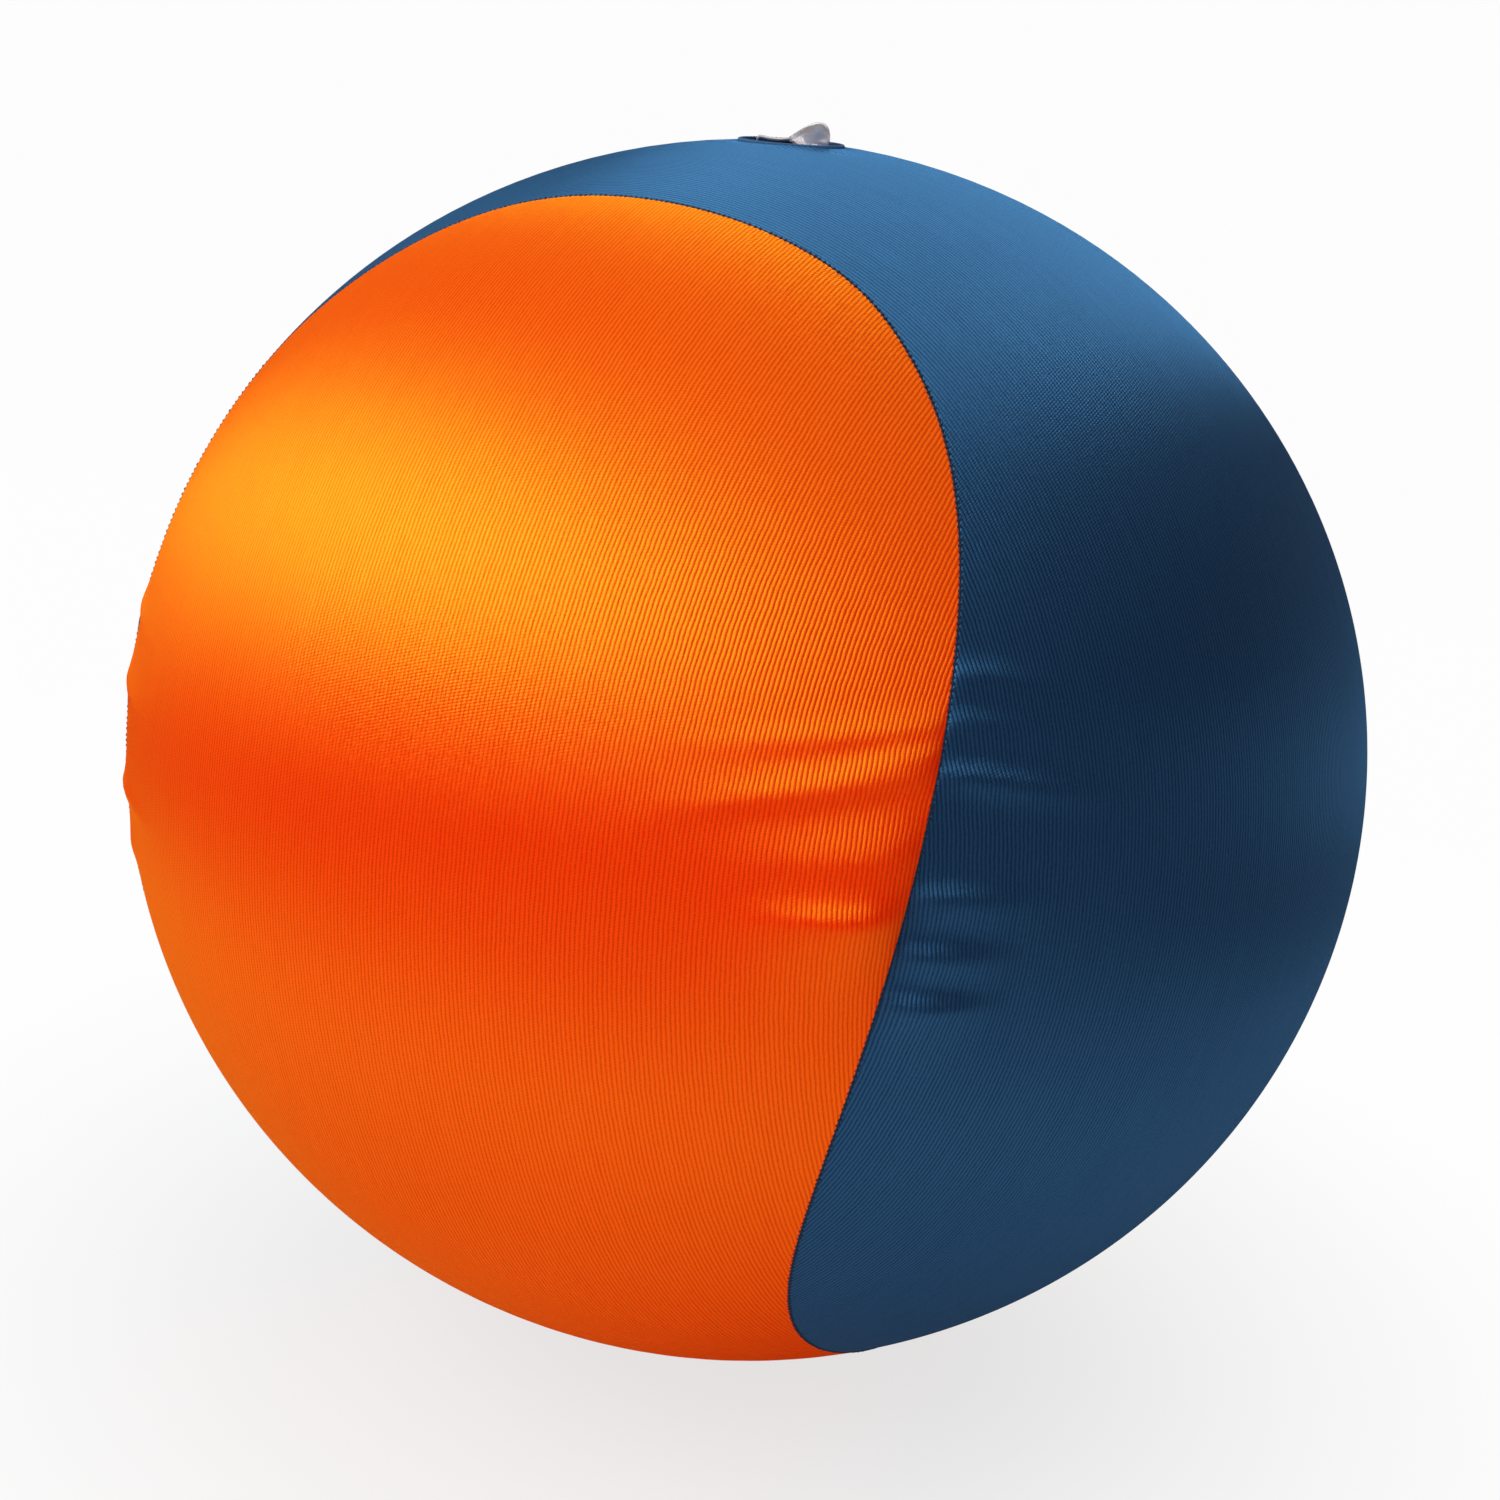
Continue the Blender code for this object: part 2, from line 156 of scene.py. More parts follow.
# the paper's tooth times the painted shade ahead of the ball
paper_tone_and_shade = add_node(tree, "ShaderNodeMix", {"Factor": 1.0, "A": paper_tone.outputs["Color"],
                      "B": painted_shade_ahead.outputs["Color"]}, data_type="RGBA", blend_type="MULTIPLY")
tree.links.new(paper_tone_and_shade.outputs["Result"], shader.inputs["Base Color"])
floor.data.materials.append(paper)
print("floor", floor.name)

# %% [markdown]
# To the camera most of the floor is a steady white, so that the background is as clean as in the photograph, and the
# rest is lit paper, which keeps the ball's shadow. More light could whiten it too, but would bleach the ball. The
# clear vinyl shows the same white. The satin mirrors white behind the ball and the lit floor in front of it.

# %% Steady white
WHITE_NEAR, WHITE_FAR, WHITE_MIRRORED = 0.74, 0.98, 0.95
rays = add_node(tree, "ShaderNodeLightPath")
seen = add_node(tree, "ShaderNodeMath", {0: rays.outputs["Is Camera Ray"],
                1: rays.outputs["Is Transmission Ray"]}, operation="MAXIMUM")
in_view = add_node(tree, "ShaderNodeMapRange", {"Value": reach.outputs["Value"], "From Min": 0.05, "From Max": 0.27,
                   "To Min": WHITE_NEAR, "To Max": WHITE_FAR}, interpolation_type="SMOOTHSTEP")
in_view = add_node(tree, "ShaderNodeMath", {0: in_view.outputs[0], 1: seen.outputs[0]}, operation="MULTIPLY")
in_mirror = add_node(tree, "ShaderNodeMapRange", {"Value": ahead.outputs["Value"], "From Min": -0.46,
                     "From Max": -0.18, "To Min": WHITE_MIRRORED, "To Max": 0.0},
                     interpolation_type="SMOOTHSTEP")
in_mirror = add_node(tree, "ShaderNodeMath", {0: in_mirror.outputs[0], 1: rays.outputs["Is Glossy Ray"]},
                     operation="MULTIPLY")
share = add_node(tree, "ShaderNodeMath", {0: in_view.outputs[0], 1: in_mirror.outputs[0]}, operation="MAXIMUM")
white = add_node(tree, "ShaderNodeEmission", {"Color": (1, 1, 1, 1), "Strength": 1.0})
mixed = add_node(tree, "ShaderNodeMixShader", {0: share.outputs[0], 1: shader.outputs[0], 2: white.outputs[0]})
tree.links.new(mixed.outputs[0], tree.nodes["Material Output"].inputs["Surface"])
print("steady white, from", WHITE_NEAR, "at the ball to", WHITE_FAR)

# %% [markdown]
# A large soft box high on the left, rolled a little, gives the satin its broad bright band. A box behind lights the
# ball's top, and a low one in front fills the shadow side. The low one is hidden from the satin's mirror, because
# there it would fill in the dark band under the bright one.

# %% Soft boxes
def soft_box(name, place, aim, width, height, power, roll=0.0):
    bpy.ops.object.light_add(type="AREA", location=place)
    lamp = bpy.context.object
    lamp.name = name
    lamp.data.shape = "RECTANGLE"
    lamp.data.size, lamp.data.size_y = width, height
    lamp.data.energy = power
    turn = (Vector(aim) - Vector(place)).to_track_quat("-Z", "Y")
    lamp.rotation_euler = (turn @ Quaternion((0, 0, 1), math.radians(roll))).to_euler()
    return lamp


soft_box("key_box", (-1.10, -0.43, 0.95), BALL_CENTRE, 1.35, 0.95, 17.2, roll=-20)
soft_box("back_box", (0.25, 1.06, 1.10), BALL_CENTRE, 1.5, 0.9, 14.0)
fill_box = soft_box("fill_box", (0.15, -1.38, 0.15), BALL_CENTRE, 1.5, 0.2, 13.5)
fill_box.visible_glossy = False
print("three soft boxes")

# %% [markdown]
# The room round the ball is dim at eye height, which the satin shows as its dark band, and paler overhead and on the
# left behind the ball. Soft gradients are enough for a cloth that blurs what it mirrors. The camera and the clear
# vinyl see the room white, as a backdrop.

# %% Studio room
ROOM_DIM, ROOM_OVERHEAD, ROOM_BEHIND = 0.03, 0.80, 0.65
BEHIND_LEFT = (-0.55, 0.835, 0.0)
room = bpy.data.worlds.new("studio_room")
bpy.context.scene.world = room
room.use_nodes = True
tree = room.node_tree
way = add_node(tree, "ShaderNodeTexCoord")
height = add_node(tree, "ShaderNodeSeparateXYZ", {0: way.outputs["Generated"]})
level = add_node(tree, "ShaderNodeMapRange", {"Value": height.outputs["Z"], "From Min": 0.4, "From Max": 1.0})
level = add_node(tree, "ShaderNodeMath", {0: level.outputs[0], 1: 3.0}, operation="POWER")
level = add_node(tree, "ShaderNodeMath", {0: level.outputs[0], 1: ROOM_OVERHEAD, 2: ROOM_DIM},
                 operation="MULTIPLY_ADD")
behind = add_node(tree, "ShaderNodeVectorMath", {0: way.outputs["Generated"], 1: BEHIND_LEFT},
                  operation="DOT_PRODUCT")
behind = add_node(tree, "ShaderNodeMapRange", {"Value": behind.outputs["Value"], "From Min": 0.70, "From Max": 0.95,
                  "To Max": ROOM_BEHIND}, interpolation_type="SMOOTHSTEP")
above = add_node(tree, "ShaderNodeMapRange", {"Value": height.outputs["Z"], "From Min": 0.0, "From Max": 0.10},
                 interpolation_type="SMOOTHSTEP")
level = add_node(tree, "ShaderNodeMath", {0: behind.outputs[0], 1: above.outputs[0], 2: level.outputs[0]},
                 operation="MULTIPLY_ADD")
rays = add_node(tree, "ShaderNodeLightPath")
for ray in ("Is Camera Ray", "Is Transmission Ray"):
    level = add_node(tree, "ShaderNodeMath", {0: level.outputs[0], 1: rays.outputs[ray]}, operation="MAXIMUM")
tree.nodes["Background"].inputs["Color"].default_value = (1, 1, 1, 1)
tree.links.new(level.outputs[0], tree.nodes["Background"].inputs["Strength"])
bpy.context.scene.view_settings.view_transform = "Standard"
print("a room of", ROOM_DIM, "at eye height")

# %% [markdown]
# The cover is cut as a ball's cover often is, from two equal dumbbell panels that wrap round each other and meet in
# one long closed seam. The seam is a smooth curve with four lobes. In places the sewn line drifts some millimetres off
# it, and the whole cover is turned a little on the bladder. These functions give a direction on the seam, turn it with
# the cover and put it on the slightly sagging ball.

# %% Seam and ball form
SEAM_LOBE_WIDTH = 0.4734
SEAM_RISE = 1.126
SEAM_LOBE_CORNER = 0.0937
# where the sewn line drifts off the pattern: degrees along the seam, width, metres towards the orange panel
SEAM_DRIFT = [(210, 9, 0.0060), (226, 6, 0.0018), (237, 4, -0.0009)]
COVER_TURN = np.array(Matrix.Rotation(math.radians(-7.2), 3, "X") @ Matrix.Rotation(math.radians(13.0), 3, "Z"))
SEAM_SAMPLES = 7200


def unit(vectors):
    return vectors / np.linalg.norm(vectors, axis=-1, keepdims=True)


def seam_pattern(t):
    return unit(np.stack([
        np.cos(t) + SEAM_LOBE_WIDTH * np.cos(3 * t),
        np.sin(t) - SEAM_LOBE_WIDTH * np.sin(3 * t),
        SEAM_RISE * np.sin(2 * t) + SEAM_LOBE_CORNER * np.sin(6 * t),
    ], axis=-1))


def seam_direction(t):
    t = np.asarray(t, float)
    point = seam_pattern(t)
    side = unit(np.cross(seam_pattern(t + 0.001) - seam_pattern(t - 0.001), point))
    drift = sum(by * np.exp(-((((np.degrees(t) - at + 180) % 360 - 180) / width) ** 2))
                for at, width, by in SEAM_DRIFT)
    return unit(point + side * (drift / EQUATOR_RADIUS)[..., None])


def on_ball(direction, lift):
    """Cover directions as points of the ball, lifted off its surface, and flat where it stands."""
    turned = np.asarray(direction) @ COVER_TURN.T
    reach = np.array([EQUATOR_RADIUS, EQUATOR_RADIUS, POLE_RADIUS]) + np.asarray(lift)[..., None]
    point = turned * reach + np.array(BALL_CENTRE)
    point[..., 2] = np.maximum(point[..., 2], 0.0)
    return point


seam_angles = np.linspace(0, 2 * np.pi, SEAM_SAMPLES, endpoint=False)
seam_line = seam_direction(seam_angles)
seam_steps = np.linalg.norm(np.roll(seam_line, -1, 0) - seam_line, axis=1) * EQUATOR_RADIUS
seam_length = seam_steps.sum()
seam_travel = np.concatenate([[0], np.cumsum(seam_steps)[:-1]])
seam_ahead = unit(np.roll(seam_line, -1, 0) - np.roll(seam_line, 1, 0))
seam_side = np.cross(seam_ahead, seam_line)
seam_tree = KDTree(SEAM_SAMPLES)
for index, point in enumerate(seam_line):
    seam_tree.insert(point, index)
seam_tree.balance()
print("seam", round(seam_length, 3), "m long")

# %% [markdown]
# Where the seam crosses the ball's middle, its thread gathers the stretched knit into short folds, which run out
# across the panels. Their crests are sharp, and one side is steeper than the other. Each is written as a ridge: where
# it starts along the seam from the crossing, how it slants, its height, how far it falls above and below, and how far
# it reaches, all in millimetres. Ridges in the mesh catch the light from every side, which a drawn bump doesn't.

# %% Gathered folds
ORANGE, BLUE = 1, -1
# crossing in degrees, direction along the seam, panel, then ridges of (start, slant, height, above, below, reach)
FOLDS = [
    (270, 1, ORANGE, [
        (-38.1, 0.29, 1.40, 2.9, 1.7, 58), (-33.2, 0.40, 1.50, 2.0, 1.2, 24),
        (-29.4, 0.37, 1.90, 4.4, 3.0, 64), (-12.4, 0.27, 3.20, 9.0, 18.0, 46),
        (0.4, 0.22, 4.40, 4.0, 14.0, 42),
    ]),
    (270, 1, BLUE, [
        (-49.1, 0.03, 1.30, 2.6, 3.5, 28), (-39.4, 0.08, 1.30, 2.6, 3.5, 28),
        (-29.1, 0.04, 2.20, 2.6, 3.0, 52), (-4.2, 0.13, 2.80, 2.8, 7.0, 34),
        (7.2, 0.09, 3.60, 2.2, 8.0, 28), (18.0, 0.10, 4.60, 2.2, 10.0, 28),
    ]),
    (180, -1, ORANGE, [
        (-28.0, 0.34, 0.80, 4.0, 2.5, 40), (-10.0, 0.30, 1.12, 4.0, 3.0, 44),
        (15.0, 0.25, 1.36, 3.0, 2.2, 44), (30.0, 0.20, 0.80, 4.0, 3.0, 34),
    ]),
    (180, -1, BLUE, [
        (-22.0, 0.05, 0.40, 3.0, 2.6, 20), (-4.0, 0.10, 0.40, 3.0, 3.0, 18),
        (13.0, 0.10, 0.45, 2.8, 2.4, 20),
    ]),
    (90, 1, ORANGE, [
        (-31.0, 0.30, 1.12, 4.0, 2.4, 44), (-14.0, 0.32, 1.36, 4.5, 2.4, 48),
        (3.0, 0.26, 0.88, 3.8, 2.8, 34), (19.0, 0.22, 0.64, 3.5, 3.2, 26),
    ]),
    (90, 1, BLUE, [
        (-20.0, 0.05, 0.80, 3.2, 2.6, 26), (-1.0, 0.10, 0.72, 3.0, 2.8, 22),
        (17.0, 0.10, 0.56, 3.0, 3.0, 20),
    ]),
    (0, -1, ORANGE, [
        (-26.0, 0.32, 1.28, 4.2, 2.4, 48), (-7.0, 0.28, 1.12, 4.2, 2.6, 40),
        (8.0, 0.26, 0.72, 3.4, 2.8, 32), (24.0, 0.20, 0.56, 3.6, 3.4, 24),
    ]),
    (0, -1, BLUE, [
        (-25.0, 0.05, 0.88, 3.2, 2.6, 26), (-6.0, 0.10, 0.64, 3.0, 2.8, 22),
        (12.0, 0.10, 0.56, 2.8, 2.6, 20),
    ]),
]
RIDGE_SHARPNESS = 1.5
SEAM_ROLL = 0.00045


def smooth_step(x):
    x = np.clip(x, 0, 1)
    return x * x * (3 - 2 * x)


def seam_place(direction):
    """How far along the seam each direction lies, and how far from it, orange being positive."""
    near = np.array([seam_tree.find(p)[1] for p in direction])
    aside = np.arcsin(np.clip((direction * seam_side[near]).sum(1), -1, 1)) * EQUATOR_RADIUS
    return seam_travel[near], aside


def fold_lift(along, aside):
    lift = np.zeros(len(along))
    out = np.abs(aside) * 1000
    for crossing, ahead, panel, ridges in FOLDS:
        middle = seam_travel[int(crossing / 360 * SEAM_SAMPLES)]
        run = (along - middle + seam_length / 2) % seam_length - seam_length / 2
        for start, slant, height, above, below, reach in ridges:
            off = run * 1000 * ahead - start - slant * aside * 1000
            ridge = np.exp(-(np.abs(off) / np.where(off < 0, above, below)) ** RIDGE_SHARPNESS)
            fade = (1 - np.exp(-out / (0.6 + 1.2 * height))) * (1 - smooth_step(out / reach))
            lift += np.where(np.sign(aside) == panel, height / 1000 * ridge * fade, 0)
    return lift


print(sum(len(ridges) for _, _, _, ridges in FOLDS), "gathered folds at the seam's four crossings")

# %% [markdown]
# A panel could be cut out of a sphere, but then its edge would be ragged along the seam. Here it is built in rows from
# seam to seam, closest where the folds are, with some columns close together at both ends for the edge's roll.

# %% Rows of a panel
EDGE_STEPS = np.array([0.0, 0.00012, 0.00028, 0.00048, 0.00075, 0.0012, 0.0019, 0.0029])
ROW_STEPS = [(0.3, 32, 44), (32, 60, 108), (60, 120, 60), (120, 150, 116), (150, 179.7, 48)]
LAST_ROW = 179.7
COLUMNS = 96
NARROW = 0.02


def panel_directions(lobe):
    turns = np.concatenate([np.linspace(a, b, n, endpoint=False) for a, b, n in ROW_STEPS] + [[LAST_ROW]])
    turns = np.radians(turns)
    start, end = seam_direction(math.radians(lobe) - turns), seam_direction(math.radians(lobe) + turns)
    angle = np.arccos(np.clip((start * end).sum(1), -1, 1))
    edge = EDGE_STEPS[None, :] * np.minimum(1, angle * EQUATOR_RADIUS / NARROW)[:, None]
    edge = edge / np.maximum(angle * EQUATOR_RADIUS, 1e-9)[:, None]
    middle = edge[:, -1:] + (1 - 2 * edge[:, -1:]) * np.linspace(0, 1, COLUMNS)[None, 1:-1]
    share = np.concatenate([edge, middle, 1 - edge[:, ::-1]], axis=1)
    near, far = np.sin((1 - share) * angle[:, None]), np.sin(share * angle[:, None])
    across = near[..., None] * start[:, None] + far[..., None] * end[:, None]
    return across / np.sin(angle)[:, None, None]


print("a panel has", sum(n for _, _, n in ROW_STEPS) + 1, "rows")

# %% [markdown]
# A panel is knit, so its ribs follow the cloth: on the ball they lie on circles round one level axis, the axis that
# the panel wraps about. The map in the panel's UV is in metres, across the ribs and along them, so that the pattern
# of the knit keeps its real size. The panel's edge rolls down into the seam, as cloth does when it is sewn from
# inside.

# %% Panel mesh
def knit_map(direction, rib_axis, panel_middle):
    side = np.cross(rib_axis, panel_middle)
    across = np.arcsin(np.clip(direction @ rib_axis, -1, 1))
    along = np.arctan2(direction @ side, direction @ panel_middle)
    return np.stack([across, along], axis=1) * EQUATOR_RADIUS


def make_panel(name, lobe, panel, rib_axis, panel_middle):
    grid = panel_directions(lobe)
    rows, columns = grid.shape[:2]
    direction = grid.reshape(-1, 3)
    along, aside = seam_place(direction)
    aside = np.maximum(aside * panel, 0) * panel
    sunk = np.clip(1 - np.abs(aside) / SEAM_ROLL, 0, 1)
    lift = fold_lift(along, aside) - SEAM_ROLL * (1 - np.sqrt(np.clip(1 - sunk ** 2, 0, 1)))
    corners = np.arange(rows * columns).reshape(rows, columns)
    faces = np.stack([corners[:-1, :-1], corners[:-1, 1:], corners[1:, 1:], corners[1:, :-1]], -1).reshape(-1, 4)
    mesh = bpy.data.meshes.new(name)
    mesh.from_pydata(on_ball(direction, lift).tolist(), [], faces.tolist())
    flat = knit_map(direction, np.array(rib_axis), np.array(panel_middle))
    layer = mesh.uv_layers.new(name="knit")
    corner_vertex = np.empty(len(mesh.loops), int)
    mesh.loops.foreach_get("vertex_index", corner_vertex)
    layer.data.foreach_set("uv", flat[corner_vertex].ravel())
    obj = bpy.data.objects.new(name, mesh)
    bpy.context.collection.objects.link(obj)
    middle_face = mesh.polygons[len(mesh.polygons) // 2]
    if middle_face.normal.dot(middle_face.center - BALL_CENTRE) < 0:
        mesh.flip_normals()
    size = flat.max(0) - flat.min(0)
    print(name, len(mesh.polygons), "faces, flat", [round(float(x), 3) for x in size], "m")
    return obj


HALF = math.sqrt(0.5)
orange_cloth = make_panel("orange_cloth", 45, ORANGE, (-HALF, HALF, 0), (0, 0, -1))
blue_cloth = make_panel("blue_cloth", 135, BLUE, (HALF, HALF, 0), (0, 0, 1))

# %% [markdown]
# The blue panel has an opening over the valve. The stretched knit draws it out to an oval, and its hem stands up a
# little. The faces over it are taken out with some room to spare, a clean ring is put in at the opening's edge, and
# the strip between the ring and the cut cloth is filled, so that the edge is even whatever way the knit's rows run.

# %% Valve opening in the blue panel
OPENING_CENTRE = Vector((-0.0046, 0.0, 0.0))
OPENING_REACH = (0.0125, 0.0070)
OPENING_STEPS = 64
HEM_RISE = 0.0004
CUT_SPARE = 0.0025
RIM_SPARE = 0.012


def cap_height(x, y):
    flat = ((x / EQUATOR_RADIUS) ** 2 + (y / EQUATOR_RADIUS) ** 2)
    return BALL_CENTRE.z + POLE_RADIUS * math.sqrt(1 - flat)


def opening_share(point, spare):
    """Below 1 inside the opening, grown by some spare room."""
    if point.z < BALL_CENTRE.z:
        return 9.0
    return math.hypot((point.x - OPENING_CENTRE.x) / (OPENING_REACH[0] + spare),
                      point.y / (OPENING_REACH[1] + spare))


work = bmesh.new()
work.from_mesh(blue_cloth.data)
knit = work.loops.layers.uv["knit"]
cut = [f for f in work.faces if any(opening_share(v.co, CUT_SPARE) < 1 for v in f.verts)]
bmesh.ops.delete(work, geom=cut, context="FACES")
rim = [e for e in work.edges if e.is_boundary and opening_share(e.verts[0].co, RIM_SPARE) < 1]
ring = []
for step in range(OPENING_STEPS):
    turn = 2 * math.pi * step / OPENING_STEPS
    x = OPENING_CENTRE.x + OPENING_REACH[0] * math.cos(turn)
    y = OPENING_CENTRE.y + OPENING_REACH[1] * math.sin(turn)
    ring.append(work.verts.new((x, y, cap_height(x, y) + HEM_RISE)))
ring_edges = [work.edges.new((ring[i - 1], ring[i])) for i in range(OPENING_STEPS)]
filled = bmesh.ops.triangle_fill(work, edges=rim + ring_edges, use_beauty=True, normal=(0, 0, 1))
inside = [f for f in filled["geom"] if isinstance(f, bmesh.types.BMFace)
          and opening_share(f.calc_center_median(), 0) < 0.97]
bmesh.ops.delete(work, geom=inside, context="FACES_ONLY")
work.normal_update()
strip = [f for f in filled["geom"] if isinstance(f, bmesh.types.BMFace) and f.is_valid]
for face in strip:
    if face.normal.z < 0:
        face.normal_flip()
    for corner in face.loops:
        way = (corner.vert.co - BALL_CENTRE)
        way = np.array([way.x / EQUATOR_RADIUS, way.y / EQUATOR_RADIUS, way.z / POLE_RADIUS]) @ COVER_TURN
        corner[knit].uv = knit_map(way[None], np.array((HALF, HALF, 0)), np.array((0, 0, 1.0)))[0]
work.to_mesh(blue_cloth.data)
work.free()
print("opening", len(strip), "faces round a ring of", OPENING_STEPS)

# %% [markdown]
# Both panels get the cloth's thickness on their inner side, so that the outer side stays on the ball, and smooth
# shading, because stretched knit has no facets.

# %% Cloth thickness
CLOTH_THICKNESS = 0.0006
for cloth in (orange_cloth, blue_cloth):
    bpy.ops.object.select_all(action="DESELECT")
    cloth.select_set(True)
    bpy.context.view_layer.objects.active = cloth
    bpy.ops.object.shade_smooth()
    wall = cloth.modifiers.new("cloth", "SOLIDIFY")
    wall.thickness = CLOTH_THICKNESS
    wall.offset = -1
    bpy.ops.object.modifier_apply(modifier=wall.name)
    print(cloth.name, sum(len(p.vertices) - 2 for p in cloth.data.polygons), "triangles")

# %% [markdown]
# The cloth is a satin warp knit of polyester and elastane. Its bright yarn lies along the ribs, so light slides off it
# in bands across them, and the shine has the dye's own colour, because it comes back through the yarn. The body of the
# cloth is a deep matt colour, and a gloss in the yarn's lighter colour lies over it, stretched across the ribs by the
# knit's own UV. The ribs are drawn as round backs with narrow furrows, at their real spacing, and the furrows are
# painted darker in both, as painted shade.

# %% Satin knit
LOOP_PITCH = 0.0007
GRAIN_SIZE = 0.0007
STREAK_WIDTH = 0.0016
STREAK_STRETCH = 0.06
RELIEF_DEPTH = 0.00012
WANDER_LENGTH = 0.006
WANDER_WIDTH = 0.0005


def satin_knit(name, body, shine, fuzz, rib_pitch):
    material, tree, shader = new_material(name)
    shader.inputs["Roughness"].default_value = 0.8
    shader.inputs["Specular IOR Level"].default_value = 0.0
    # loose fibre ends catch light where the cloth turns away
    shader.inputs["Sheen Weight"].default_value = 0.20
    shader.inputs["Sheen Roughness"].default_value = 0.40
    shader.inputs["Sheen Tint"].default_value = linear(fuzz)
    weave = add_node(tree, "ShaderNodeUVMap", uv_map="knit")
    axes = add_node(tree, "ShaderNodeSeparateXYZ", {0: weave.outputs[0]})
    # the yarn wanders a tenth of a millimetre from rib to rib
    wander = add_node(tree, "ShaderNodeTexNoise", {"Vector": weave.outputs[0], "Scale": 1 / WANDER_LENGTH,
                      "Detail": 2.0})
    shift = add_node(tree, "ShaderNodeMath", {0: wander.outputs["Fac"], 1: WANDER_WIDTH},
                     operation="MULTIPLY")
    across = add_node(tree, "ShaderNodeMath", {0: axes.outputs["X"], 1: shift.outputs[0]}, operation="ADD")
    turn = add_node(tree, "ShaderNodeMath", {0: across.outputs[0], 1: math.pi / rib_pitch}, operation="MULTIPLY")
    wave = add_node(tree, "ShaderNodeMath", {0: turn.outputs[0]}, operation="SINE")
    rib = add_node(tree, "ShaderNodeMath", {0: wave.outputs[0]}, operation="ABSOLUTE")
    # stitch loops along each rib, and the loose grain of the yarn
    loops = add_node(tree, "ShaderNodeMath", {0: axes.outputs["Y"], 1: 2 * math.pi / LOOP_PITCH},
                     operation="MULTIPLY")
    loops = add_node(tree, "ShaderNodeMath", {0: loops.outputs[0], 1: turn.outputs[0]}, operation="ADD")
    loops = add_node(tree, "ShaderNodeMath", {0: loops.outputs[0]}, operation="SINE")
    grain = add_node(tree, "ShaderNodeTexNoise", {"Vector": weave.outputs[0], "Scale": 1 / GRAIN_SIZE,
                     "Detail": 3.0})
    bump = add_node(tree, "ShaderNodeMath", {0: loops.outputs[0], 1: 0.10, 2: rib.outputs[0]},
                    operation="MULTIPLY_ADD")
    bump = add_node(tree, "ShaderNodeMath", {0: grain.outputs["Fac"], 1: 0.25, 2: bump.outputs[0]},
                    operation="MULTIPLY_ADD")
    relief = add_node(tree, "ShaderNodeBump", {"Height": bump.outputs[0], "Distance": RELIEF_DEPTH, "Strength": 1.0})
    # furrows are painted darker than the ribs' backs, in the base colour and in the shine, as painted shade in the
    # furrows
    painted_furrow_shade = add_node(tree, "ShaderNodeMath", {0: rib.outputs[0], 1: rib.outputs[0], 2: -0.2},
                          operation="MULTIPLY_ADD")
    tint = add_node(tree, "ShaderNodeMath", {0: grain.outputs["Fac"], 1: 0.9, 2: painted_furrow_shade.outputs[0]},
                    operation="MULTIPLY_ADD")
    tint = add_node(tree, "ShaderNodeMath", {0: loops.outputs[0], 1: 0.12, 2: tint.outputs[0]},
                    operation="MULTIPLY_ADD")
    # single ribs shine a little more or less along some centimetres
    streak = add_node(tree, "ShaderNodeVectorMath", {0: weave.outputs[0],
                      1: (1.0, STREAK_STRETCH, 1.0)}, operation="MULTIPLY")
    streak = add_node(tree, "ShaderNodeTexNoise", {"Vector": streak.outputs[0], "Scale": 1 / STREAK_WIDTH,
                      "Detail": 2.0})
    streak = add_node(tree, "ShaderNodeMath", {0: streak.outputs["Fac"], 1: 0.5}, operation="SUBTRACT")
    tint = add_node(tree, "ShaderNodeMath", {0: streak.outputs[0], 1: 0.4, 2: tint.outputs[0]},
                    operation="MULTIPLY_ADD")
    # ramps of base colour and shine, with the furrows' painted shade at their dark ends
    dye_and_furrow_shade, gleam_and_furrow_shade = (add_node(tree, "ShaderNodeValToRGB", {"Fac": tint.outputs[0]}) for _ in range(2))
    for ramp, (low, high) in ((dye_and_furrow_shade, body), (gleam_and_furrow_shade, shine)):
        ramp.color_ramp.elements[0].position, ramp.color_ramp.elements[1].position = 0.15, 1.0
        ramp.color_ramp.elements[0].color, ramp.color_ramp.elements[1].color = linear(low), linear(high)
    lie = add_node(tree, "ShaderNodeTangent", direction_type="UV_MAP", uv_map="knit")
    tree.links.new(dye_and_furrow_shade.outputs["Color"], shader.inputs["Base Color"])
    tree.links.new(relief.outputs["Normal"], shader.inputs["Normal"])
    yarn = add_node(tree, "ShaderNodeBsdfAnisotropic", {"Color": gleam_and_furrow_shade.outputs["Color"], "Roughness": 0.44,
                    "Anisotropy": -0.60, "Normal": relief.outputs["Normal"], "Tangent": lie.outputs[0]},
                    distribution="BECKMANN")
    satin = add_node(tree, "ShaderNodeAddShader", {0: shader.outputs[0], 1: yarn.outputs[0]})
    tree.links.new(satin.outputs[0], tree.nodes["Material Output"].inputs["Surface"])
    return material


print("knit with", LOOP_PITCH * 1000, "mm loops")

# %% [markdown]
# The two panels are the same knit in two dyes. Each shines in a lighter tone of its own, the orange yellower and the
# blue greener, and the blue knit is a little finer.

# %% Satin on the panels
# each pair of colours runs from the furrow, painted darker as shade, to the rib's back
orange_cloth.data.materials.append(satin_knit("orange satin warp knit", ("#CC1702", "#DB1F04"),
                                               ("#79660C", "#A3831A"), "#FF8C38", 0.00096))
blue_cloth.data.materials.append(satin_knit("blue satin warp knit", ("#0F2339", "#182F4B"),
                                             ("#1D3C56", "#325F85"), "#6C8CB4", 0.00090))
for cloth, node, slot in ((orange_cloth, "orange_panel", "orange_knit"), (blue_cloth, "blue_panel", "blue_knit")):
    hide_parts(node)
    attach(cloth, "ball")
print("two satin knits")

